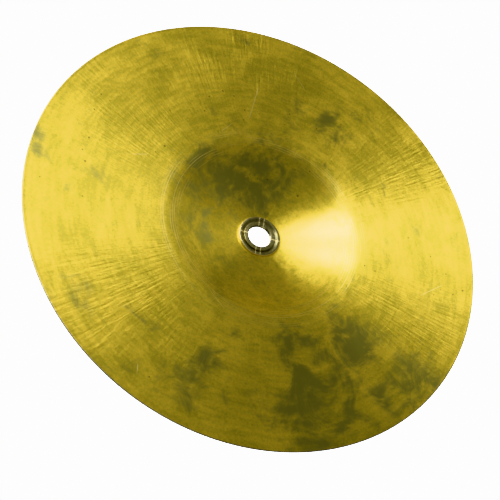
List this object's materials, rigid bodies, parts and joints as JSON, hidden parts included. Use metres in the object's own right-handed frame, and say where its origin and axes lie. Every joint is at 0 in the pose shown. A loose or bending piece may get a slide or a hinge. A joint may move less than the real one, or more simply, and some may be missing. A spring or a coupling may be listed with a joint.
{
  "type": "crash cymbal",
  "caption": "Small round spun-brass cymbal: shallow bow, domed bell and a mounting hole lined by an eyelet that is crimped into a countersunk washer.",
  "frame": {"origin": "centre of the plane that the rim lies in, on the mounting hole's axis", "axes": "+Z along the hole's axis, from the hollow side towards the bell; the piece is round, so X and Y are free"},
  "size_m": [0.254, 0.254, 0.0292],
  "materials": {
    "plate_brass": "lathe-turned, lightly tarnished",
    "eyelet_brass": "polished, darkened",
    "washer_brass": "polished, darkened"
  },
  "bodies": {
    "root": {"cymbal_plate": "plate_brass", "hole_eyelet": "eyelet_brass", "eyelet_washer": "washer_brass"}
  },
  "joints": []
}
